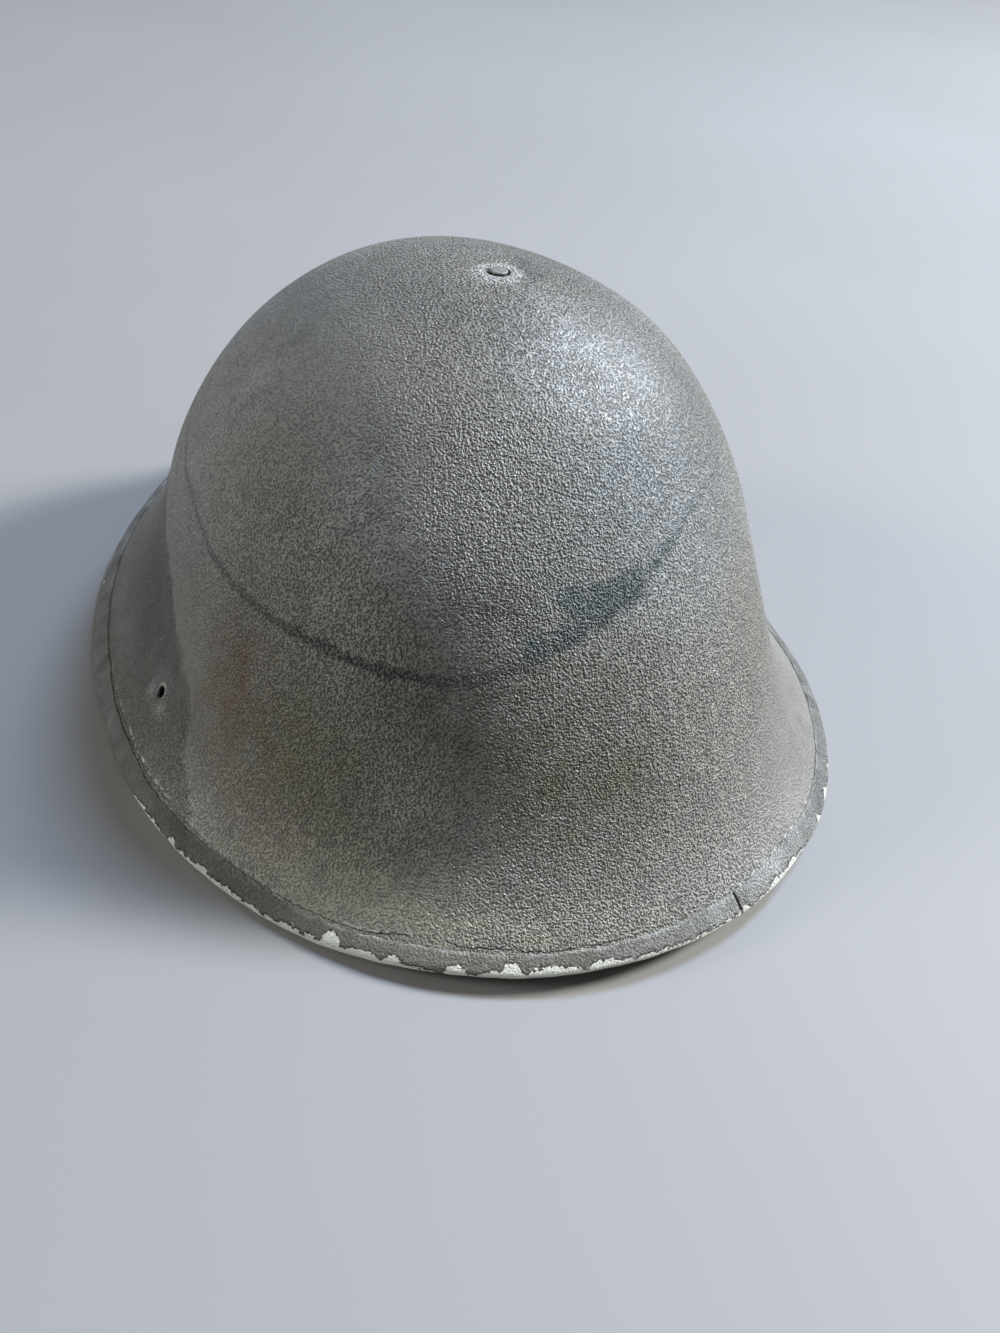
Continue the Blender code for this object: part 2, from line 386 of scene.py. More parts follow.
def shell_grid():
    """Angle and row of each grid point, as arrays of columns by rings."""
    angles = spread(
        -math.pi, math.pi, COLUMNS + 1, lambda a: 1 + 1.7 * bell((np.abs(a) - LUG_HOLE_ANGLE) / 0.12)
    )[:-1]
    side_rows = np.linspace(float(first_row(LUG_HOLE_ANGLE)), float(row_at(LUG_HOLE_ANGLE, FOLD_RADIUS)), 600)
    rises = rise_of(np.full(600, LUG_HOLE_ANGLE), side_rows)
    wanted = spread(
        rises[-1], rises[0], RINGS,
        lambda r: (
            1 + 6 * (r > rises[0] - 0.004) + 2 * (r > rises[0] - 0.008) + 1.4 * bell((r - LUG_HOLE_RISE) / 0.01)
        ),
    )
    side = np.interp(wanted[::-1], rises[::-1], side_rows[::-1])
    share = (side - side[0]) / (side[-1] - side[0])
    first, last = first_row(angles)[:, None], row_at(angles, FOLD_RADIUS)[:, None]
    return np.repeat(angles[:, None], RINGS, axis=1), first + (last - first) * share


def round_patch(angles, rows, side):
    """Bends the grid round one lug hole. Returns angles, rows, steps from the hole, and place in metres from it.

    A point k steps from the middle lies on a square ring. Its new place is a blend of that square and of a circle
    whose radius grows step by step from the hole's: all circle at the hole, all square at the patch's edge.
    """
    centre = side * LUG_HOLE_ANGLE
    centre_row = row_at(centre, LUG_HOLE_RISE)
    along, up, _ = wall_directions(centre, centre_row)
    by_angle = (wall_point(centre + 0.01, centre_row) - wall_point(centre - 0.01, centre_row)) / 0.02
    by_row = (wall_point(centre, centre_row + 0.1) - wall_point(centre, centre_row - 0.1)) / 0.2
    slope = np.array([[by_angle @ along, by_row @ along], [by_angle @ up, by_row @ up]])
    column = np.argmin(np.abs(angles[:, 0] - centre))
    ring = np.argmin(np.abs(rows[column] - centre_row))
    across = np.arange(COLUMNS)[:, None] - column + np.zeros((1, RINGS))
    down = np.arange(RINGS)[None, :] - ring + np.zeros((COLUMNS, 1))
    steps = np.maximum(np.abs(across), np.abs(down))
    own = np.stack([angles - centre, rows - centre_row], axis=-1) @ slope.T
    grown = np.clip((steps - HOLE_STEPS) / (PATCH_STEPS - HOLE_STEPS), 0, 1)
    radius = LUG_HOLE_RADIUS * (PATCH_RADIUS / LUG_HOLE_RADIUS) ** grown**1.15
    ray = np.stack([across, -down], axis=-1) / np.maximum(np.hypot(across, down), 1)[..., None]
    blend = (1 - grown[..., None]) ** 1.5
    spot = np.where((steps < PATCH_STEPS)[..., None], own * (1 - blend) + ray * radius[..., None] * blend, own)
    moved = spot @ np.linalg.inv(slope).T
    return centre + moved[..., 0], centre_row + moved[..., 1], steps, spot


angles, rows = shell_grid()
patches = []
for side in (-1, 1):
    bent_angles, bent_rows, steps, spot = round_patch(angles, rows, side)
    near = steps < PATCH_STEPS
    angles, rows = np.where(near, bent_angles, angles), np.where(near, bent_rows, rows)
    patches.append((steps, spot))
rise = rise_of(angles, rows)
print("grid:", angles.shape, "wall in mm:", round(float(rise.max()) * 1000, 1), round(float(rise.min()) * 1000, 1))

# %% [markdown]
# ## The shell's surface
# Now the grid becomes points. The rim is pushed about, the wall is dented, and each lug hole gets the low blister
# and the torn lip that drilling out the old lug left. The inner side of the sheet is made by a Solidify modifier,
# which also closes the edges of the holes and of the rim.

# %% Shell points
BLISTER_HEIGHT = 0.0005
BLISTER_RADIUS = 0.0055
LIP_HEIGHT = 0.00055
LIP_RADIUS = 0.0026
LIP_WIDTH = 0.0006
LIP_TURN = math.radians(100)
WEAR_WIDTH = 0.0004
RING_INSIDE = 0.0033
RING_OUTSIDE = 0.0078
RING_HEIGHT = 0.0007
RING_CLIMB = 0.0005
RING_FALL = 0.0025
# between a lug hole and the rim: place across and up from the hole, half width and half height in metres, strength
WEAR_SPOTS = ((-0.0056, -0.0034, 0.0034, 0.0023, 0.42), (0.0046, -0.0036, 0.0034, 0.0022, 0.44))
# painted shade just below each lug hole, with the same columns
LUG_SHADE_SPOTS = ((0, -0.0019, 0.0016, 0.0011, 1),)


def lug_lip(spot, width, power):
    """A ring round the hole that is high one way: a bell over the distance times a power of a raised cosine."""
    distance, turn = np.linalg.norm(spot, axis=-1), np.arctan2(spot[..., 1], spot[..., 0])
    return bell((distance - LIP_RADIUS) / width) * (0.5 + 0.5 * np.cos(turn - LIP_TURN)) ** power


def lug_swelling(spot):
    """Height of the blister and the lip at a place in metres from the hole."""
    blister = bell(np.linalg.norm(spot, axis=-1) / BLISTER_RADIUS)
    return BLISTER_HEIGHT * blister + LIP_HEIGHT * lug_lip(spot, LIP_WIDTH, 1.5)


def lug_spots(spot, rows):
    """The bells of a table of spots of wear or of painted shade near a lug hole, added up."""
    return sum(most * bell((spot[..., 0] - x) / wide, (spot[..., 1] - y) / high) for x, y, wide, high, most in rows)


def moved_wall(angle, row, rise):
    """A point of the dented wall and its outward direction, moved to where the frame stands."""
    outwards = wall_directions(angle, row)[2]
    point = wall_point(angle, row) + MOVE + rim_push(angle, rise)
    return point - outwards * dent(angle, row, rise)[..., None], outwards


def crown_ring(radius):
    """Height of the worn ring round the rivet: it rises steeply out of the rivet's seat and falls away slowly."""
    inner = np.clip((radius - RING_INSIDE) / RING_CLIMB, 0, 1)
    outer = np.clip((RING_OUTSIDE - radius) / RING_FALL, 0, 1)
    return RING_HEIGHT * inner**2 * (3 - 2 * inner) * outer**2 * (3 - 2 * outer)


def box_in_mm(points):
    """The lowest and the highest corner of an array of points, in millimetres."""
    flat = points.reshape(-1, 3) * 1000
    return np.round([flat.min(axis=0), flat.max(axis=0)], 2).tolist()


shell_points, shell_out = moved_wall(angles, rows, rise)
crown_distance = np.linalg.norm(shell_points[..., :2] - MOVE[:2], axis=-1)
shell_points[..., 2] += crown_ring(crown_distance)
for steps, spot in patches:
    shell_points = shell_points + shell_out * (lug_swelling(spot) * (steps < PATCH_STEPS))[..., None]
print("shell box in mm:", box_in_mm(shell_points))

# %% Shell mesh
def object_from(name, points, faces, materials):
    """A smooth shaded mesh object from an array of points and an array of faces, linked to the scene."""
    mesh = bpy.data.meshes.new(name)
    mesh.from_pydata(points.reshape(-1, 3), [], faces)
    for material in materials:
        mesh.materials.append(material)
    mesh.shade_smooth()
    made = bpy.data.objects.new(name, mesh)
    bpy.context.scene.collection.objects.link(made)
    return made


def give(mesh_object, name, values):
    """Stores one number for each point as an attribute that the shader reads by name."""
    attribute = mesh_object.data.attributes.new(name, "FLOAT", "POINT")
    attribute.data.foreach_set("value", np.ascontiguousarray(values, np.float32).ravel())


def grid_faces(columns, rings, closed):
    """Quads between neighbouring columns and rings, with the last column joined to the first if closed."""
    index = np.arange(columns * rings).reshape(columns, rings)
    following = np.roll(index, -1, axis=0) if closed else index[1:]
    here = index if closed else index[:-1]
    return np.stack([here[:, :-1], here[:, 1:], following[:, 1:], following[:, :-1]], axis=-1).reshape(-1, 4)


faces = grid_faces(COLUMNS, RINGS, closed=True)
dropped = np.zeros(COLUMNS * RINGS, bool)
keep_face = np.ones(len(faces), bool)
for steps, spot in patches:
    dropped |= (steps < HOLE_STEPS).ravel()
    keep_face &= steps.ravel()[faces].max(axis=1) > HOLE_STEPS
keep_point = ~dropped
faces = (np.cumsum(keep_point) - 1)[faces[keep_face]]

shell_paint = empty_material("wrinkle_enamel_on_pressed_steel")
inner_paint = empty_material("thin_enamel_inside_the_bowl")
shell = object_from("helmet_shell_fine", shell_points.reshape(-1, 3)[keep_point], faces, [shell_paint, inner_paint])
print("shell:", len(shell.data.vertices), "points,", len(faces), "faces on the outer side")

# %% [markdown]
# ## Where the marks are
# Stains, tints, worn places, a painted shade on the flange and a painted highlight and reflection on the dome are
# drawn by the shader, but the shader has to know where. Painting a picture would tie the finish to one mesh.
# Instead each mark is a row of a table, by its angle round the helmet and its distance up the wall, and the bells
# of each kind together go into an attribute.

# %% Marks on the shell
# by kind: angle in degrees, distance up the wall in mm, half width in degrees, half height in mm, strength
MARKS = {
    # painted shade on the left flange below the crease, with a painted highlight just above it
    "painted_flange_shade": ((-100, 24, 42, 60, 1.0),),
    "smooth": (
        (-115, 12, 60, 32, 1.0), (-62, 8, 28, 16, 0.9), (60, 8, 42, 26, 1.0), (34, 22, 19, 25, 1.0),
        (22, 6, 10, 10, 0.7), (150, 8, 50, 28, 1.0), (-160, 8, 30, 26, 1.0), (35, 150, 40, 28, 0.5),
        (-100, 70, 26, 60, 0.45), (-70, 60, 16, 50, 0.2), (100, 90, 40, 80, 0.6), (170, 110, 50, 70, 0.3),
        (-85, 150, 60, 30, 0.55), (-95, 30, 25, 24, 1.0),
    ),
    "shine": (
        (8, 160, 38, 26, 1.0), (20, 115, 22, 40, 0.6),
    ),
    # dark: the rows from -115 to -88 degrees are painted shade on the left flange; the rest darken the tone in places
    "dark": (
        (-100, 30, 26, 16, 0.55), (-88, 20, 12, 12, 0.5), (-115, 40, 14, 14, 0.5), (-35, 68, 26, 14, 0.15),
        (-22, 66, 13, 25, 1.0), (-33, 98, 12, 34, 0.5), (-20, 66, 16, 24, 0.5), (47, 143, 18, 24, 0.6),
        (50, 16, 20, 18, 0.3), (34, 22, 16, 20, 0.35), (-10, 56, 9, 20, 0.6), (-26, 103, 12, 14, 0.6),
        (-99, 23, 10, 8, 0.45), (-60, 180, 70, 12, 0.35), (120, 178, 60, 14, 0.4), (150, 60, 40, 26, 0.35),
        (-150, 45, 24, 18, 0.35), (75, 195.5, 28, 3.5, 0.9), (113, 195, 20, 3, 0.8),
    ),
    "olive": (
        (-58, 42, 20, 26, 0.75), (-76, 60, 12, 22, 0.5), (-60, 118, 40, 30, 0.12), (-16, 60, 22, 40, 0.6),
        (-50, 145, 36, 26, 0.3), (33, 72, 14, 24, 0.5), (95, 90, 30, 36, 0.5), (175, 60, 30, 30, 0.6),
    ),
    "rust": (
        (-76, 56, 8, 20, 1.0), (-60, 22, 10, 8, 0.5), (84, 40, 10, 14, 0.5),
    ),
    # a painted bluish reflection on the right of the dome
    "cool_reflection": (
        (14, 125, 26, 34, 0.9), (5, 160, 30, 16, 0.5),
    ),
    "blue": (
        (-12, 101.5, 4, 4, 1.0), (-7.5, 98.5, 4, 5.5, 1.0), (-1.5, 102, 5, 5, 1.0), (-14.5, 92, 4, 3, 1.0),
        (-20.5, 91.5, 3, 1.7, 0.9), (-19.5, 87.5, 3, 1.5, 0.9), (6, 105.5, 6, 3.5, 0.5),
        (12, 109.5, 5, 3.5, 0.35), (22, 114, 9, 4, 0.4),
    ),
    # pale: the first row is a painted highlight high on the dome where it shines; the rest lighten the tone in places
    "pale": (
        (10, 168, 30, 22, 0.6), (-97, 27, 5, 5, 0.6), (-88, 22, 5, 4, 0.3), (-79, 9, 11, 9, 1.0),
        (-50, 18, 12, 12, 0.5), (-118, 12, 14, 10, 0.6), (-57, 112, 14, 24, 0.6), (-37, 43, 9, 12, 0.5),
        (6, 100, 14, 20, 0.35), (0, 12, 26, 6, 0.4), (-108, 115, 14, 26, 0.5),
    ),
    "dust": (
        (-38, 14, 22, 12, 0.9), (-12, 8, 16, 6, 0.45),
    ),
    "runs": (
        (4, 58, 26, 38, 1.0), (35, 60, 12, 30, 0.5), (-35, 50, 22, 34, 0.5), (-150, 70, 20, 35, 0.6),
    ),
    "flecks": (
        (-92, 167, 9, 5, 1.0), (-50, 10, 14, 8, 0.5), (18, 34, 9, 14, 1.0),
    ),
    "chipped": (
        (-84, 8, 16, 8, 0.9), (-40, 8, 18, 8, 0.5), (15, 8, 11, 8, 1.0), (130, 8, 30, 8, 0.6),
        (-160, 8, 14, 8, 0.6),
    ),
}


def mark(kind, angle, rise):
    """Strength of one kind of mark: one minus the product of what each bell leaves over."""
    left_over = np.ones(np.shape(angle))
    for at, up, width, height, strength in MARKS[kind]:
        left_over = left_over * (1 - strength * bell(degrees_between(angle, at) / width, (rise * 1000 - up) / height))
    return 1 - left_over


for kind in MARKS:
    give(shell, kind, mark(kind, angles, rise).ravel()[keep_point])
print("marks:", {kind: len(rows) for kind, rows in MARKS.items()})

# %% [markdown]
# ## The tide line
# Something once hung round the dome and left a thin dark line, which widens to a blue black smudge at the front
# right. The line climbs from 80 mm up the wall to 116 mm. A table gives its height round the helmet, and the
# attribute is the distance from it in millimetres, so the shader can draw it thin at any size.

# %% Tide line
# angle in degrees, distance up the wall in mm, darkness
TIDE = np.array((
    (-180, 96, 0.25), (-150, 90, 0.4), (-120, 85.7, 0.75), (-105, 85.0, 0.65), (-94, 82.0, 0.7),
    (-81, 81.6, 0.75), (-61, 80.9, 0.85), (-44, 79.7, 1.0), (-36, 79.7, 1.0), (-29.5, 81.6, 0.9),
    (-23, 85.0, 0.8), (-16, 89.0, 0.8), (-8, 94.4, 0.8), (0.5, 101.0, 0.4), (10.5, 108.7, 0.3),
    (20, 113.4, 0.3), (28.5, 116.4, 0.35), (50, 119, 0.25), (80, 117, 0.2), (120, 110, 0.2), (150, 103, 0.2),
    (180, 96, 0.25),
))
# %% [markdown]
# ## Cracked paint at the strip
# Paint was brushed over the strip's inner edge and has cracked along it. At the near left the crack leaves the
# edge and wanders over the shell. Its course is a table like the tide line's.

# %% Crack
# angle in degrees, distance up the wall in mm, strength
CRACK = np.array((
    (-180, 7.6, 0.2), (-70, 8.0, 0.3), (-44, 7.3, 0.7), (-41, 7.4, 1.0), (-38.8, 7.8, 1.0), (-36.8, 8.7, 1.0),
    (-36, 8.5, 0.8), (-34, 8.0, 0.1), (-32.2, 10.8, 0.1), (-31.5, 10.4, 0.9), (-31.0, 8.4, 1.0),
    (-28.8, 7.4, 1.0), (-26.5, 7.9, 1.0), (-24.2, 7.7, 1.0), (-22, 7.2, 1.0), (-19.8, 7.0, 1.0),
    (-12, 7.0, 0.8), (-6, 7.4, 0.2), (180, 7.6, 0.2),
))

# %% [markdown]
# ## Distances for the shader
# The other fields are distances in millimetres from the tide line, the crack, the crease and the crown, the wear at
# the lug holes, and the painted shade below them. The flow is a vector that runs round the helmet in a circle and up
# along the wall, so that a noise read from it can be drawn out down the wall.

# %% Distances and flow
FIELDS = {
    "tide": rise * 1000 - read_round(TIDE, angles),
    "tide_dark": read_round(TIDE, angles, 2),
    "crack": rise * 1000 - read_round(CRACK, angles),
    "crack_strength": read_round(CRACK, angles, 2),
    "crease": above_crease(angles, rise) * 1000,
    "crown": crown_distance * 1000,
    "lug": sum(
        (steps < PATCH_STEPS) * (lug_lip(spot, WEAR_WIDTH, 1.2) + lug_spots(spot, WEAR_SPOTS))
        for steps, spot in patches
    ),
    "lug_shade": sum(lug_spots(spot, LUG_SHADE_SPOTS) * (steps < PATCH_STEPS) for steps, spot in patches),
}
for name, values in FIELDS.items():
    give(shell, name, values.ravel()[keep_point])
flow = np.stack([HALF_WIDTH * np.sin(angles), HALF_WIDTH * np.cos(angles), rise], axis=-1).reshape(-1, 3)
flow = np.ascontiguousarray(flow[keep_point], np.float32).ravel()
shell.data.attributes.new("flow", "FLOAT_VECTOR", "POINT").data.foreach_set("vector", flow)

wall = shell.modifiers.new("sheet", "SOLIDIFY")
wall.thickness = SHEET
wall.offset = -1
wall.use_even_offset = True
wall.material_offset = 1
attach(shell, "root")
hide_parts("helmet_shell")

# %% [markdown]
# ## Wrinkle enamel
# The shell's paint is a thick oil enamel with a pebbled skin and small pits, laid over pressed steel. Its pebbles
# are about a millimetre across, too fine for the mesh, so they are a bump. The same pattern darkens the pits with
# painted shade and lightens the tops with painted light. Over it come slow changes of tone, the tints and stains
# of the tables, painted shade on the flange, a painted highlight and reflection on the dome, and a few pale chips.

# %% Wrinkle enamel
# sizes of the patterns in metres; the skin's real height is about 0.1 mm and it is drawn higher, so that it shows
WRINKLE = 0.0007
WORM = 0.0018
GRAIN = 0.0005
WRINKLE_HEIGHT = 0.0015
RUN_ACROSS = 0.0035
SPECK = 0.005
# slower patterns in waves per metre: clouds of 40 mm, blotches of 8 mm, rays at the crown, ragged edges of 2.4 mm
CLOUDS = 25.0
BLOTCHES = 120.0
RAYS = 38.0
RAGGED = 420.0

tree = shell_paint.node_tree
place = add(tree, "TexCoord").outputs["Object"]
field = {name: add(tree, "Attribute", attribute_name=name).outputs["Fac"] for name in (*MARKS, *FIELDS)}
stream = add(tree, "Attribute", attribute_name="flow").outputs["Vector"]

# wrinkles: pebbles with pits between them, and faint ridges where a second noise crosses its middle value
pebble = add(tree, "TexNoise", (place, 1 / WRINKLE, 1.5, 0.5, 2.0, 0.15))
pit = add(tree, "MapRange", (pebble, 0.36, 0.50), interpolation_type="SMOOTHSTEP")
fine = add(tree, "TexNoise", (place, 1 / GRAIN, 2.0, 0.6))
worm = add(tree, "TexNoise", (place, 1 / WORM, 1.0, 0.4, 2.0, 0.6))
from_middle = add(tree, "Math", (worm, 0.5), operation="SUBTRACT")
apart = add(tree, "Math", (from_middle,), operation="ABSOLUTE")
ridge = add(tree, "MapRange", (apart, 0.0, 0.09, 1.0, 0.0), interpolation_type="SMOOTHSTEP")
wrinkles = add(tree, "Math", (ridge, 0.03, pebble), operation="MULTIPLY_ADD")
wrinkles = add(tree, "Math", (pit, 0.35, wrinkles), operation="MULTIPLY_ADD")

# runs: the same noise drawn out down the wall
drawn_out = add(tree, "Mapping", {"Vector": stream, "Scale": (1, 1, 0.09)})
run = add(tree, "TexNoise", (drawn_out, 1 / RUN_ACROSS, 3.0, 0.6))

# tone: slow clouds of 40 mm and blotches of 8 mm between a darker and a lighter grey
cloud = add(tree, "TexNoise", (place, CLOUDS, 4.0, 0.6))
blotch = add(tree, "TexNoise", (place, BLOTCHES, 3.0, 0.6))
mixed = add(tree, "Math", (cloud, blotch), operation="ADD")
tone = add(tree, "MapRange", (mixed, 0.7, 1.3))
colour = add(tree, "Mix", (tone, linear("#6b6963"), linear("#807e77")), data_type="RGBA")

# tints: each is the attribute broken up by a noise, then mixed in; the bluish one is a painted reflection, and parts
# of the dark and pale ones are painted shade and a painted highlight
TINTS = (
    ("dark", "#343433", 0.9), ("olive", "#605c38", 0.75), ("rust", "#634f41", 0.75), ("cool_reflection", "#66737c", 0.6),
    ("pale", "#a1a29f", 0.6), ("dust", "#93917a", 0.7),
)
broken = add(tree, "Math", (blotch, 2.0, -0.5), operation="MULTIPLY_ADD", use_clamp=True)
for kind, tint, most in TINTS:
    share = add(tree, "Math", (broken, field[kind]), operation="MULTIPLY")
    share = add(tree, "Math", (share, most * 1.6), operation="MULTIPLY", use_clamp=True)
    colour = add(tree, "Mix", (share, colour, linear(tint)), data_type="RGBA")

# ink: a blue black spill with a ragged edge
ragged = add(tree, "Math", (blotch, 2.2, pebble), operation="MULTIPLY_ADD")
ragged = add(tree, "Math", (ragged, 0.8), operation="SUBTRACT")
ink = add(tree, "Math", (field["blue"], ragged), operation="MULTIPLY")
ink = add(tree, "MapRange", (ink, 0.24, 0.50))
soaked = add(tree, "MapRange", (pebble, 0.4, 0.62, 1.0, 0.58))
ink = add(tree, "Math", (ink, soaked), operation="MULTIPLY")
colour = add(tree, "Mix", (ink, colour, linear("#1e3235")), data_type="RGBA")

# painted shade: mostly where the mark on the left flange says so, the flange below the crease is darker than the
# dome, with a ragged border, and a painted highlight lightens a strip just above the crease
flange = add(tree, "Math", (cloud, 16.0, -12.0), operation="MULTIPLY_ADD")
flange = add(tree, "Math", (blotch, 8.0, flange), operation="MULTIPLY_ADD")
flange = add(tree, "Math", (field["crease"], flange), operation="ADD")
below = add(tree, "MapRange", (flange, -2.0, 1.5, 0.50, 1.12), interpolation_type="SMOOTHSTEP")
far_above = add(tree, "MapRange", (flange, 3.0, 14.0, 0.0, 0.12))
below = add(tree, "Math", (below, far_above), operation="SUBTRACT")
painted_flange_shade = add(tree, "MapRange", (field["painted_flange_shade"], 0.0, 0.7, 0.3, 1.0))
below = add(tree, "Mix", (painted_flange_shade, 0.98, below))
colour = add(tree, "VectorMath", (colour, below), operation="SCALE")

# runs show as light and dark streaks where the table puts them
streak = add(tree, "MapRange", (run, 0.35, 0.65, 0.86, 1.14))
drip = add(tree, "Math", (run, 0.5), operation="SUBTRACT")
drip = add(tree, "Math", (drip,), operation="ABSOLUTE")
drip = add(tree, "MapRange", (drip, 0.0, 0.02, 0.6, 1.0))
streak = add(tree, "Math", (streak, drip), operation="MULTIPLY")
streak = add(tree, "Mix", (field["runs"], 1.0, streak))

# painted shade darkens the pits and painted light the tops, less where the skin is smooth; a fine grain covers the
# dome
depth = add(tree, "MapRange", (pit, 0.0, 1.0, 0.44, 1.13))
skin_depth = add(tree, "Math", (1.0, field["smooth"]), operation="SUBTRACT")
relief = add(tree, "MapRange", (skin_depth, 0.0, 1.0, 0.22, 1.0))
depth = add(tree, "Mix", (relief, 1.0, depth))
shading = add(tree, "Math", (depth, streak), operation="MULTIPLY")
grainy = add(tree, "MapRange", (fine, 0.35, 0.65, 0.78, 1.22))
above = add(tree, "MapRange", (field["crease"], -2.0, 6.0, 0.25, 1.0))
grainy = add(tree, "Mix", (above, 1.0, grainy))
shading = add(tree, "Math", (shading, grainy), operation="MULTIPLY")
colour = add(tree, "VectorMath", (colour, shading), operation="SCALE")

# the tide line: its edge is made ragged by the blotches
wobble = add(tree, "Math", (blotch, 7.0, -3.5), operation="MULTIPLY_ADD")
tide = add(tree, "Math", (field["tide"], wobble), operation="ADD")
tide = add(tree, "Math", (tide,), operation="ABSOLUTE")
tide_width = add(tree, "MapRange", (field["tide_dark"], 0.4, 1.0, 0.7, 1.5))
tide = add(tree, "Math", (tide, tide_width), operation="DIVIDE")
line = add(tree, "MapRange", (tide, 0.5, 1.9, 1.0, 0.0), interpolation_type="SMOOTHSTEP")
grain = add(tree, "MapRange", (pebble, 0.4, 0.62, 1.0, 0.5))
line = add(tree, "Math", (line, grain), operation="MULTIPLY")
line = add(tree, "Math", (line, field["tide_dark"]), operation="MULTIPLY")

# the crack in the paint at the strip
fine_wobble = add(tree, "TexNoise", (place, RAGGED, 2.0))
wobble = add(tree, "Math", (fine_wobble, 1.6, -0.8), operation="MULTIPLY_ADD")
beside = add(tree, "Math", (field["crack"], wobble), operation="ADD")
crack = add(tree, "Math", (beside,), operation="ABSOLUTE")
crack = add(tree, "MapRange", (crack, 0.08, 0.26, 1.0, 0.0))
crack = add(tree, "Math", (crack, field["crack_strength"]), operation="MULTIPLY")

# paint chipped off beside the crack
beside = add(tree, "Math", (beside, 0.75), operation="SUBTRACT")
beside = add(tree, "Math", (beside,), operation="ABSOLUTE")
beside = add(tree, "MapRange", (beside, 0.25, 0.65, 1.0, 0.0))
off = add(tree, "MapRange", (fine_wobble, 0.52, 0.58))
off = add(tree, "Math", (off, beside), operation="MULTIPLY")
off = add(tree, "Math", (off, field["chipped"]), operation="MULTIPLY")

# worn ring round the crown rivet and pale metal at the lug holes; painted shade in the gap round the rivet head
# and just below each lug hole
round_only = add(tree, "Mapping", {"Vector": stream, "Scale": (1, 1, 0)})
rays = add(tree, "TexNoise", (round_only, RAYS, 3.0, 0.7))
ring = add(tree, "Math", (rays, -9.0, field["crown"]), operation="MULTIPLY_ADD")
ring = add(tree, "MapRange", (ring, 4.0, 1.4), interpolation_type="SMOOTHSTEP")
worn = add(tree, "Math", (ring, field["lug"]), operation="MAXIMUM")
patchy = add(tree, "MapRange", (pebble, 0.38, 0.58, 0.25, 1.0))
worn = add(tree, "Math", (worn, patchy), operation="MULTIPLY")
inside = add(tree, "MapRange", (field["crown"], 3.3, 4.0, 0.85, 0.0))
painted_gap_shade = add(tree, "Math", (inside, field["lug_shade"]), operation="MAXIMUM")

# pale chips: one small spot in some of the cells of a 5 mm pattern
cells = add(tree, "TexVoronoi", (place, 1 / SPECK))
small = add(tree, "MapRange", (cells.outputs["Distance"], 0.035, 0.06, 1.0, 0.0))
pick = add(tree, "SeparateColor", (cells.outputs["Color"],))
pick = add(tree, "Math", (field["flecks"], 0.5, pick), operation="MULTIPLY_ADD")
chosen = add(tree, "Math", (pick, 0.91), operation="GREATER_THAN")
speck = add(tree, "Math", (small, chosen), operation="MULTIPLY")

# these six lie over the paint, from the tide line up to the chips
LAYERS = (
    (line, "#1f1f1e"), (crack, "#1c1b19"), (off, "#b9b8b0"), (worn, "#b2b1ac"), (painted_gap_shade, "#242321"),
    (speck, "#d0cfc6"),
)
for mask, code in LAYERS:
    colour = add(tree, "Mix", (mask, colour, linear(code)), data_type="RGBA")

# gloss: tops shine more than pits, hands have polished one side, and smooth places and those under the dark marks
# are dull
gloss = add(tree, "MapRange", (wrinkles, 0.45, 1.05, 0.44, 0.25))
gloss = add(tree, "Math", (field["smooth"], 0.12, gloss), operation="MULTIPLY_ADD")
gloss = add(tree, "Math", (field["shine"], -0.07, gloss), operation="MULTIPLY_ADD")
gloss = add(tree, "Math", (field["dark"], 0.16, gloss), operation="MULTIPLY_ADD")

# bump: the wrinkles, lower where smooth or polished, the runs, and the hollow of the crack
worn_down = add(tree, "Math", (field["shine"], -0.5, 1.0), operation="MULTIPLY_ADD")
height = add(tree, "Math", (wrinkles, relief), operation="MULTIPLY")
height = add(tree, "Math", (height, worn_down), operation="MULTIPLY")
run_height = add(tree, "Math", (run, field["runs"]), operation="MULTIPLY")
height = add(tree, "Math", (run_height, 0.5, height), operation="MULTIPLY_ADD")
height = add(tree, "Math", (crack, -0.2, height), operation="MULTIPLY_ADD")
bump = add(tree, "Bump", {"Height": height, "Distance": WRINKLE_HEIGHT, "Strength": 1.0})
skin = add(tree, "BsdfPrincipled", {"Base Color": colour, "Roughness": gloss, "IOR": 1.5, "Normal": bump})
add(tree, "OutputMaterial", {"Surface": skin})
print("shell paint:", len(tree.nodes), "nodes")

# %% [markdown]
# ## Inside of the bowl
# The inner side had one thin coat, now dull, with rust that bled through where the liner held damp. No wrinkle
# skin formed there, so it is a fine orange peel with blotches of rust. Its scales are in waves per metre.

# %% Inner enamel
INNER_CLOUDS = 30.0
RUST_BLOTCHES = 95.0
PEEL = 700.0
PEEL_HEIGHT = 0.0003

tree = inner_paint.node_tree
place = add(tree, "TexCoord").outputs["Object"]
cloud = add(tree, "TexNoise", (place, INNER_CLOUDS, 5.0, 0.65))
tone = add(tree, "MapRange", (cloud, 0.3, 0.7))
colour = add(tree, "Mix", (tone, linear("#56564f"), linear("#6f6f68")), data_type="RGBA")
rusty = add(tree, "TexNoise", (place, RUST_BLOTCHES, 6.0, 0.7))
rust = add(tree, "MapRange", (rusty, 0.58, 0.68), interpolation_type="SMOOTHSTEP")
colour = add(tree, "Mix", (rust, colour, linear("#5a3f2c")), data_type="RGBA")
peel = add(tree, "TexNoise", (place, PEEL, 2.0))
height = add(tree, "Math", (rust, 0.5, peel), operation="MULTIPLY_ADD")
bump = add(tree, "Bump", {"Height": height, "Distance": PEEL_HEIGHT, "Strength": 0.8})
dull = add(tree, "MapRange", (rust, 0.0, 1.0, 0.55, 0.85))
skin = add(tree, "BsdfPrincipled", {"Base Color": colour, "Roughness": dull, "IOR": 1.5, "Normal": bump})
add(tree, "OutputMaterial", {"Surface": skin})

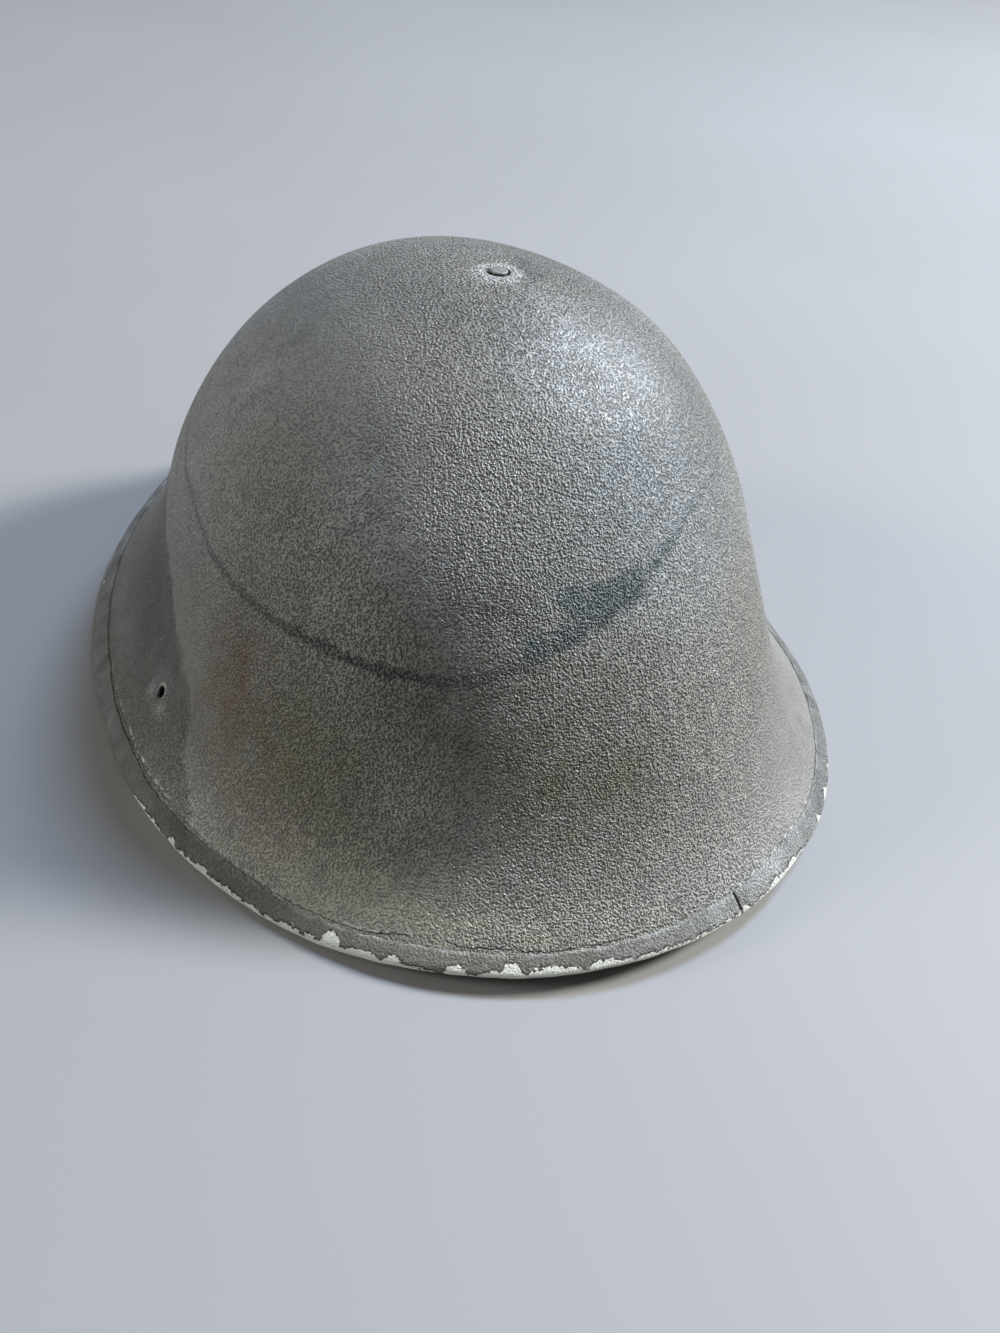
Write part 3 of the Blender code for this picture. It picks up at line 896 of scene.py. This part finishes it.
# %% [markdown]
# ## The rim strip
# A narrow steel strip is folded round the edge of the shell and its two ends meet at a slit near the neck. It was
# closed by hand, so its inner edge wanders by a millimetre. It is a U section carried round the rim. The section
# is a path of outer points and one of inner points, and the end of the upper leg is rounded and pressed down.

# %% Rim strip
BAND_STATIONS = 1100
BAND_SLIT = 0.0008
BAND_SLIT_ANGLE = math.radians(6)
LEG_POINTS = 9
FOLD_POINTS = 11
LOWER_LEG = 0.0068
LEG_END = 0.00045

# angle in degrees, width of the upper leg in mm
BAND_WIDTHS = np.array((
    (-180, 7.0), (-150, 6.8), (-125, 7.3), (-109, 7.9), (-104, 6.9), (-97, 6.5), (-91, 7.2), (-82, 6.4),
    (-77, 6.8), (-68, 7.3), (-60, 7.6), (-52, 6.6), (-44, 6.4), (-36, 6.6), (-28, 6.4), (-20, 6.5), (-12, 6.1),
    (-8, 6.7), (-3, 6.4), (0, 7.0), (6, 7.3), (13, 8.1), (20, 8.0), (28, 7.4), (40, 7.8), (60, 7.2), (90, 7.0),
    (130, 7.3), (180, 7.0),
))
# angle in degrees, half width in degrees, depth in metres
NICKS = (
    (-99.5, 0.8, 0.0004), (-98.2, 0.5, 0.0003), (-112, 0.7, 0.0002), (-31.6, 0.6, 0.0003), (19.5, 0.6, 0.0003),
    (118, 0.8, 0.0004), (160, 0.6, 0.0003),
)


def nicks(angle):
    """Depth of the small nicks in the strip's fold."""
    return sum(depth * bell(degrees_between(angle, at) / width) for at, width, depth in NICKS)


def band_path(angle):
    """Outer and inner points of the section at each angle, and how far each is from the fold and the leg's end.

    The upper leg follows the wall at a small height, the fold is half a circle about the middle of the sheet, and
    the lower leg follows the wall's inner side. Half the strip's thickness shrinks like an ellipse at the leg's end.
    """
    width = read_round(BAND_WIDTHS, angle)[:, None] / 1000
    width = width + 0.00012 * np.sin(angle * 61)[:, None] + 0.00010 * np.sin(angle * 143 + 1)[:, None]
    share = np.sin(np.linspace(1, 0, LEG_POINTS) * math.pi / 2)
    ups = FOLD_RADIUS + (width - FOLD_RADIUS) * share
    rest = np.repeat(angle[:, None], LEG_POINTS, axis=1)
    point, outwards = moved_wall(rest, row_at(rest, ups), ups)
    end = np.clip((ups - (width - LEG_END)) / LEG_END, 0, 1)
    half = BAND_SHEET / 2 * np.sqrt(1 - 0.98 * end**2) * (1 - 0.45 * np.clip((ups - width + 0.002) / 0.002, 0, 1))
    gap = BAND_FIT - (BAND_FIT - 0.00006) * np.clip((ups - 0.003) / (width - 0.003), 0, 1)
    ripple = 0.00005 * np.sin(angle * 47 + 2)[:, None] + 0.00004 * np.sin(angle * 90)[:, None]
    middle = gap + half + ripple * (1 - end)
    upper_outer = point + outwards * (middle + half)[..., None]
    upper_inner = point + outwards * (middle - half)[..., None]

    fold_row = row_at(angle, FOLD_RADIUS)
    fold_point, fold_out = moved_wall(angle, fold_row, np.full(angle.shape, FOLD_RADIUS))
    fold_up = wall_directions(angle, fold_row)[1]
    centre = (fold_point - fold_out * SHEET / 2)[:, None]
    bends = np.linspace(0, math.pi, FOLD_POINTS)[1:-1]
    ray = fold_out[:, None] * np.cos(bends)[:, None] - fold_up[:, None] * np.sin(bends)[:, None]
    fold_outer = centre + ray * (FOLD_RADIUS + ripple[..., None] - 0.0001 - nicks(angle)[:, None, None])
    fold_inner = centre + ray * (SHEET / 2 + BAND_FIT)

    lower = np.linspace(FOLD_RADIUS, LOWER_LEG, 5)
    rest = np.repeat(angle[:, None], 5, axis=1)
    lower_rise = np.broadcast_to(lower, rest.shape)
    point, outwards = moved_wall(rest, row_at(rest, lower_rise), lower_rise)
    lower_outer = point - outwards * (SHEET + BAND_FIT + BAND_SHEET)
    lower_inner = point - outwards * (SHEET + BAND_FIT)

    outer = np.concatenate([upper_outer, fold_outer, lower_outer], axis=1)
    inner = np.concatenate([upper_inner, fold_inner, lower_inner], axis=1)
    quarter = FOLD_RADIUS * math.pi / 2
    along = np.concatenate([
        quarter + ups - FOLD_RADIUS,
        np.broadcast_to(quarter - FOLD_RADIUS * bends, (len(angle), len(bends))),
        -quarter - (lower_rise - FOLD_RADIUS),
    ], axis=1)
    return outer, inner, along, np.concatenate([width - ups, np.full((len(angle), len(bends) + 5), 0.01)], axis=1)


half_slit = BAND_SLIT / 2 / NECK_REACH
band_angles = np.linspace(BAND_SLIT_ANGLE + half_slit, BAND_SLIT_ANGLE + 2 * math.pi - half_slit, BAND_STATIONS)
band_outer, band_inner, band_along, band_inset = band_path(band_angles)
loop = np.concatenate([band_outer, band_inner[:, ::-1]], axis=1)
loop[..., 2] = np.maximum(loop[..., 2], 0)
count = loop.shape[1]
index = np.arange(BAND_STATIONS * count).reshape(BAND_STATIONS, count)
turned = np.roll(index, -1, axis=1)
sides = np.stack([index[:-1], turned[:-1], turned[1:], index[1:]], axis=-1).reshape(-1, 4)
half_count = count // 2
k = np.arange(half_count - 1)
cap = np.stack([k, count - 1 - k, count - 2 - k, k + 1], axis=-1)
band_faces = np.concatenate([sides, cap, (index[-1, 0] + cap)[:, ::-1]])
band_paint = empty_material("enamel_on_folded_steel_strip")
band = object_from("rim_band_fine", loop, band_faces, [band_paint])
print("band:", len(band.data.vertices), "points, box in mm:", box_in_mm(loop))

# %% [markdown]
# ## Chips along the rim
# The strip's edge has been set down on hard ground many times. The grey coat is worn off along the fold, and
# flakes have come away above it, down to a cream undercoat. One table gives the worn edge's course, and another
# gives each flake by its angle, its half width and how far it reaches up the strip. The attribute says how far
# inside a worn place each point is.

# %% Chips
# angle in degrees, how far the worn edge reaches up the strip in mm
EDGE_WEAR = np.array((
    (-180, -0.6), (-86, -0.6), (-83, 0.8), (-80, 1.9), (-77, 1.6), (-74, 1.1), (-70, 1.7), (-66, 2.2),
    (-58, 1.7), (-54, 1.5), (-51, 2.1), (-46, 2.0), (-42, 2.5), (-39.6, 2.4), (-38.6, 1.4), (-36.5, 2.3),
    (-34.5, 1.4), (-32, 0.1), (-28.5, 0.9), (-26, 1.2), (-22, 2.0), (-15.5, 1.3), (-13, 2.4), (-10, 1.9),
    (-5, 1.7), (0, 2.0), (4, 1.7), (9, 1.4), (12, 2.0), (18, 2.3), (21, 1.9), (23.5, 0.6), (26, 0.5), (33, 1.3),
    (45, 0.7), (60, 0.2), (80, -0.6), (108, 1.2), (125, 1.8), (140, -0.5), (180, -0.6),
))
# angle in degrees, half width in degrees, reach up the strip in mm
FLAKES = (
    (-72.3, 0.9, 2.6), (-65.8, 0.8, 2.5), (-61.0, 0.8, 2.8), (-51.3, 1.1, 3.0), (-45.2, 1.1, 5.4),
    (-40.6, 1.1, 2.9), (-37.4, 1.0, 3.2), (-29.9, 1.4, 3.7), (-24.7, 2.6, 3.0), (-23.6, 1.0, 5.4),
    (-18.5, 3.0, 3.7), (-12.8, 2.0, 3.4), (-8.2, 0.5, 2.4), (6.6, 1.0, 2.6), (12.6, 1.1, 3.0), (17.0, 1.0, 2.8),
    (27.3, 1.0, 2.8), (33.0, 1.4, 3.0), (38.5, 0.8, 2.5), (104, 1.2, 2.9), (113, 2.0, 3.4), (119, 0.8, 2.6),
    (168, 1.2, 3.2), (-158, 0.9, 2.8), (-131, 0.7, 2.5),
)


def chip_room(angle, along):
    """How far inside a worn place a point of the strip is, in mm: the highest reach less the point's own height."""
    reach = read_round(EDGE_WEAR, angle)
    for at, width, height in FLAKES:
        inside = 1 - (degrees_between(angle, at) / width) ** 2
        reach = np.maximum(reach, reach + (height - reach) * np.clip(inside, 0, 1) ** 0.4)
    return reach[:, None] + 0.3 - np.abs(along) * 1000


# angle in degrees, how pale and pebbled the strip is, how olive it is, both from 0 to 1
BAND_SHADES = np.array((
    (-180, 0.3, 0.2), (-135, 0.25, 0.0), (-95, 0.1, 0.0), (-65, 0.3, 0.6), (-50, 0.3, 1.0), (-20, 0.3, 1.0),
    (-6, 0.5, 0.5), (2, 0.8, 0.1), (22, 0.8, 0.0), (26, 0.4, 0.0), (80, 0.35, 0.3), (140, 0.6, 0.2),
    (180, 0.3, 0.2),
))


def both(values):
    """The same values for the outer points and, in reverse order, for the inner ones."""
    return np.concatenate([values, values[:, ::-1]], axis=1)


give(band, "chip", both(chip_room(band_angles, band_along)))
give(band, "along", both(band_along * 1000))
for column, name in ((1, "front"), (2, "olive")):
    shade = read_round(BAND_SHADES, band_angles, column)
    give(band, name, both(np.repeat(shade[:, None], band_along.shape[1], axis=1)))
give(band, "inset", both(band_inset * 1000))
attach(band, "root")
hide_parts("rim_band")
print("flakes:", len(FLAKES))

# %% [markdown]
# ## Chipped enamel
# The strip has the shell's grey enamel, brushed on thinner, over a cream undercoat. A flake leaves a small step,
# a dark outline round its edge, and a dull chalky floor. The pebbles are the shell's, drawn higher than real ones so
# that they show, and strong only where the table calls the strip pebbled. Painted shade darkens their hollows and
# painted light their tops, and a painted highlight runs along the strip's inner edge.

# %% Chipped enamel
FLAKE = 0.0016
BAND_HEIGHT = 0.0028
# in waves per metre
BAND_BLOTCHES = 130.0
FINE_RAGGED = 900.0
DIRT = 600.0

tree = band_paint.node_tree
place = add(tree, "TexCoord").outputs["Object"]
names = ("chip", "inset", "front", "olive")
field = {name: add(tree, "Attribute", attribute_name=name).outputs["Fac"] for name in names}
pebble = add(tree, "TexNoise", (place, 1 / WRINKLE, 3.0, 0.55, 2.0, 0.4))
blotch = add(tree, "TexNoise", (place, BAND_BLOTCHES, 4.0, 0.65))
tone = add(tree, "MapRange", (blotch, 0.35, 0.65))
# the strip is paler where the table's first column is higher
pale_band_tone = add(tree, "Mix", (tone, linear("#807f7a"), linear("#b4b3ae")), data_type="RGBA")
colour = add(tree, "Mix", (tone, linear("#424240"), linear("#545452")), data_type="RGBA")
colour = add(tree, "Mix", (field["front"], colour, pale_band_tone), data_type="RGBA")
olive = add(tree, "Math", (field["olive"], 0.6), operation="MULTIPLY")
colour = add(tree, "Mix", (olive, colour, linear("#686350")), data_type="RGBA")
# painted shade darkens the pebbles' hollows and painted light lightens their tops, where the strip is pebbled
depth = add(tree, "MapRange", (pebble, 0.35, 0.65, 0.72, 1.28))
grain = add(tree, "MapRange", (field["front"], 0.1, 0.4, 0.12, 1.0))
depth = add(tree, "Mix", (grain, 1.0, depth))
colour = add(tree, "VectorMath", (colour, depth), operation="SCALE")

# painted highlight, paler along the inner edge of the strip
painted_edge_highlight = add(tree, "MapRange", (field["inset"], 0.2, 1.0, 0.9, 0.0))
painted_edge_highlight = add(tree, "Math", (painted_edge_highlight, grain), operation="MULTIPLY")
painted_edge_highlight = add(tree, "Math", (painted_edge_highlight, tone), operation="MULTIPLY")
colour = add(tree, "Mix", (painted_edge_highlight, colour, linear("#a9a9a2")), data_type="RGBA")

# ragged edge of the worn places
ragged = add(tree, "TexNoise", (place, FINE_RAGGED, 3.0, 0.6))
flake = add(tree, "TexVoronoi", (place, 1 / FLAKE)).outputs["Color"]
flake = add(tree, "SeparateColor", (flake,))
room = add(tree, "Math", (ragged, 1.8, -1.5), operation="MULTIPLY_ADD")
room = add(tree, "Math", (flake, 1.2, room), operation="MULTIPLY_ADD")
room = add(tree, "Math", (room, field["chip"]), operation="ADD")
bare = add(tree, "MapRange", (room, -0.06, 0.06))
outline = add(tree, "MapRange", (room, -0.75, -0.30))
dirt = add(tree, "TexNoise", (place, DIRT, 5.0, 0.7))
dirt = add(tree, "MapRange", (dirt, 0.6, 0.78))
cream = add(tree, "Mix", (dirt, linear("#e2e2d6"), linear("#8f8b7a")), data_type="RGBA")
colour = add(tree, "Mix", (outline, colour, linear("#2a2620")), data_type="RGBA")
colour = add(tree, "Mix", (bare, colour, cream), data_type="RGBA")

height = add(tree, "Math", (pebble, grain), operation="MULTIPLY")
height = add(tree, "Math", (bare, -0.12, height), operation="MULTIPLY_ADD")
bump = add(tree, "Bump", {"Height": height, "Distance": BAND_HEIGHT, "Strength": 0.9})
gloss = add(tree, "MapRange", (bare, 0.0, 1.0, 0.5, 0.75))
skin = add(tree, "BsdfPrincipled", {"Base Color": colour, "Roughness": gloss, "IOR": 1.5, "Normal": bump})
add(tree, "OutputMaterial", {"Surface": skin})

# %% [markdown]
# ## The crown rivet
# A turned steel rivet holds the liner's crown plate. It is a profile carried round an axis: from the middle of its
# flat head, over a worn edge, down the shank, and out over the hidden inner head.

# %% Crown rivet
RIVET_HEAD_RADIUS = 0.0026
RIVET_HEAD_THICKNESS = 0.0007
RIVET_SHANK_RADIUS = 0.0018
RIVET_INNER_RADIUS = 0.0042
RIVET_INNER_THICKNESS = 0.0012
RIVET_FIT = 0.0003
RIVET_SIDES = 96
RIVET_OFF_CENTRE = 0.00025
RIVET_SAG = 0.00012
WORN_CORNER = 0.00035


def rounded(radius, height, corner, start, end, points=7):
    """Points of a quarter round of that corner size about a radius and height, from start to end angle."""
    turn = np.radians(np.linspace(start, end, points))
    return np.stack([radius + corner * np.cos(turn), height + corner * np.sin(turn)], axis=-1)


seat = float(wall_point(0.0, 0.0)[2]) + LOWEST
top = seat + RIVET_FIT + RIVET_HEAD_THICKNESS
under, inside = seat + RIVET_FIT, seat - SHEET - RIVET_FIT
bottom = inside - RIVET_INNER_THICKNESS
crown = np.stack([np.linspace(0.0001, 0.0023, 10), top - RIVET_SAG * np.linspace(0, 1, 10) ** 2], axis=-1)
profile = np.concatenate([
    crown,
    rounded(RIVET_HEAD_RADIUS - WORN_CORNER, top - RIVET_SAG - WORN_CORNER, WORN_CORNER, 80, 0),
    rounded(RIVET_HEAD_RADIUS - 0.00012, under + 0.00012, 0.00012, 0, -90, 4),
    [(RIVET_SHANK_RADIUS, under), (RIVET_SHANK_RADIUS, inside)],
    rounded(RIVET_INNER_RADIUS - 0.0002, inside - 0.0002, 0.0002, 90, 0, 5),
    rounded(RIVET_INNER_RADIUS - 0.0005, bottom + 0.0005, 0.0005, 0, -90, 6),
    [(0.0001, bottom)],
])
spin = np.linspace(0, 2 * math.pi, RIVET_SIDES, endpoint=False)[:, None]
rivet_points = np.stack([
    profile[:, 0] * np.cos(spin) + MOVE[0] + RIVET_OFF_CENTRE,
    profile[:, 0] * np.sin(spin) + MOVE[1],
    profile[:, 1] + 0 * spin,
], axis=-1)
rivet_faces = grid_faces(RIVET_SIDES, len(profile), closed=True)
rivet_metal = empty_material("worn_turned_steel_rivet")
rivet_ends = np.arange(RIVET_SIDES) * len(profile)
rivet_caps = [rivet_ends[::-1].tolist(), (rivet_ends + len(profile) - 1).tolist()]
rivet = object_from("crown_rivet_fine", rivet_points, rivet_faces.tolist() + rivet_caps, [rivet_metal])
give(rivet, "edge", np.repeat(profile[None, :, 0], RIVET_SIDES, axis=0) * 1000)
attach(rivet, "root")
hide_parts("crown_rivet")

# %% [markdown]
# ## Rivet steel
# The head is bare steel rubbed grey, with old paint left on its face. The metal shows at the rim of the head,
# where a hand or the ground has polished it.

# %% Rivet steel
RIVET_GRAIN_HEIGHT = 0.0002

tree = rivet_metal.node_tree
place = add(tree, "TexCoord").outputs["Object"]
edge = add(tree, "Attribute", attribute_name="edge").outputs["Fac"]
spots = add(tree, "TexNoise", (place, FINE_RAGGED, 4.0, 0.6))
tone = add(tree, "MapRange", (spots, 0.3, 0.7))
paint = add(tree, "Mix", (tone, linear("#595953"), linear("#83837d")), data_type="RGBA")
bare = add(tree, "MapRange", (edge, 2.5, 3.2))
bare = add(tree, "Math", (bare, tone), operation="MULTIPLY")
colour = add(tree, "Mix", (bare, paint, linear("#b4b4b0")), data_type="RGBA")
bump = add(tree, "Bump", {"Height": spots, "Distance": RIVET_GRAIN_HEIGHT, "Strength": 0.7})
skin = add(tree, "BsdfPrincipled", {"Base Color": colour, "Metallic": bare, "Roughness": 0.45, "Normal": bump})
add(tree, "OutputMaterial", {"Surface": skin})
print("rivet:", len(rivet.data.vertices), "points")

# %% [markdown]
# ## The end of the lesson
# The scene is brought up to date.

# %% Finish
bpy.context.view_layer.update()
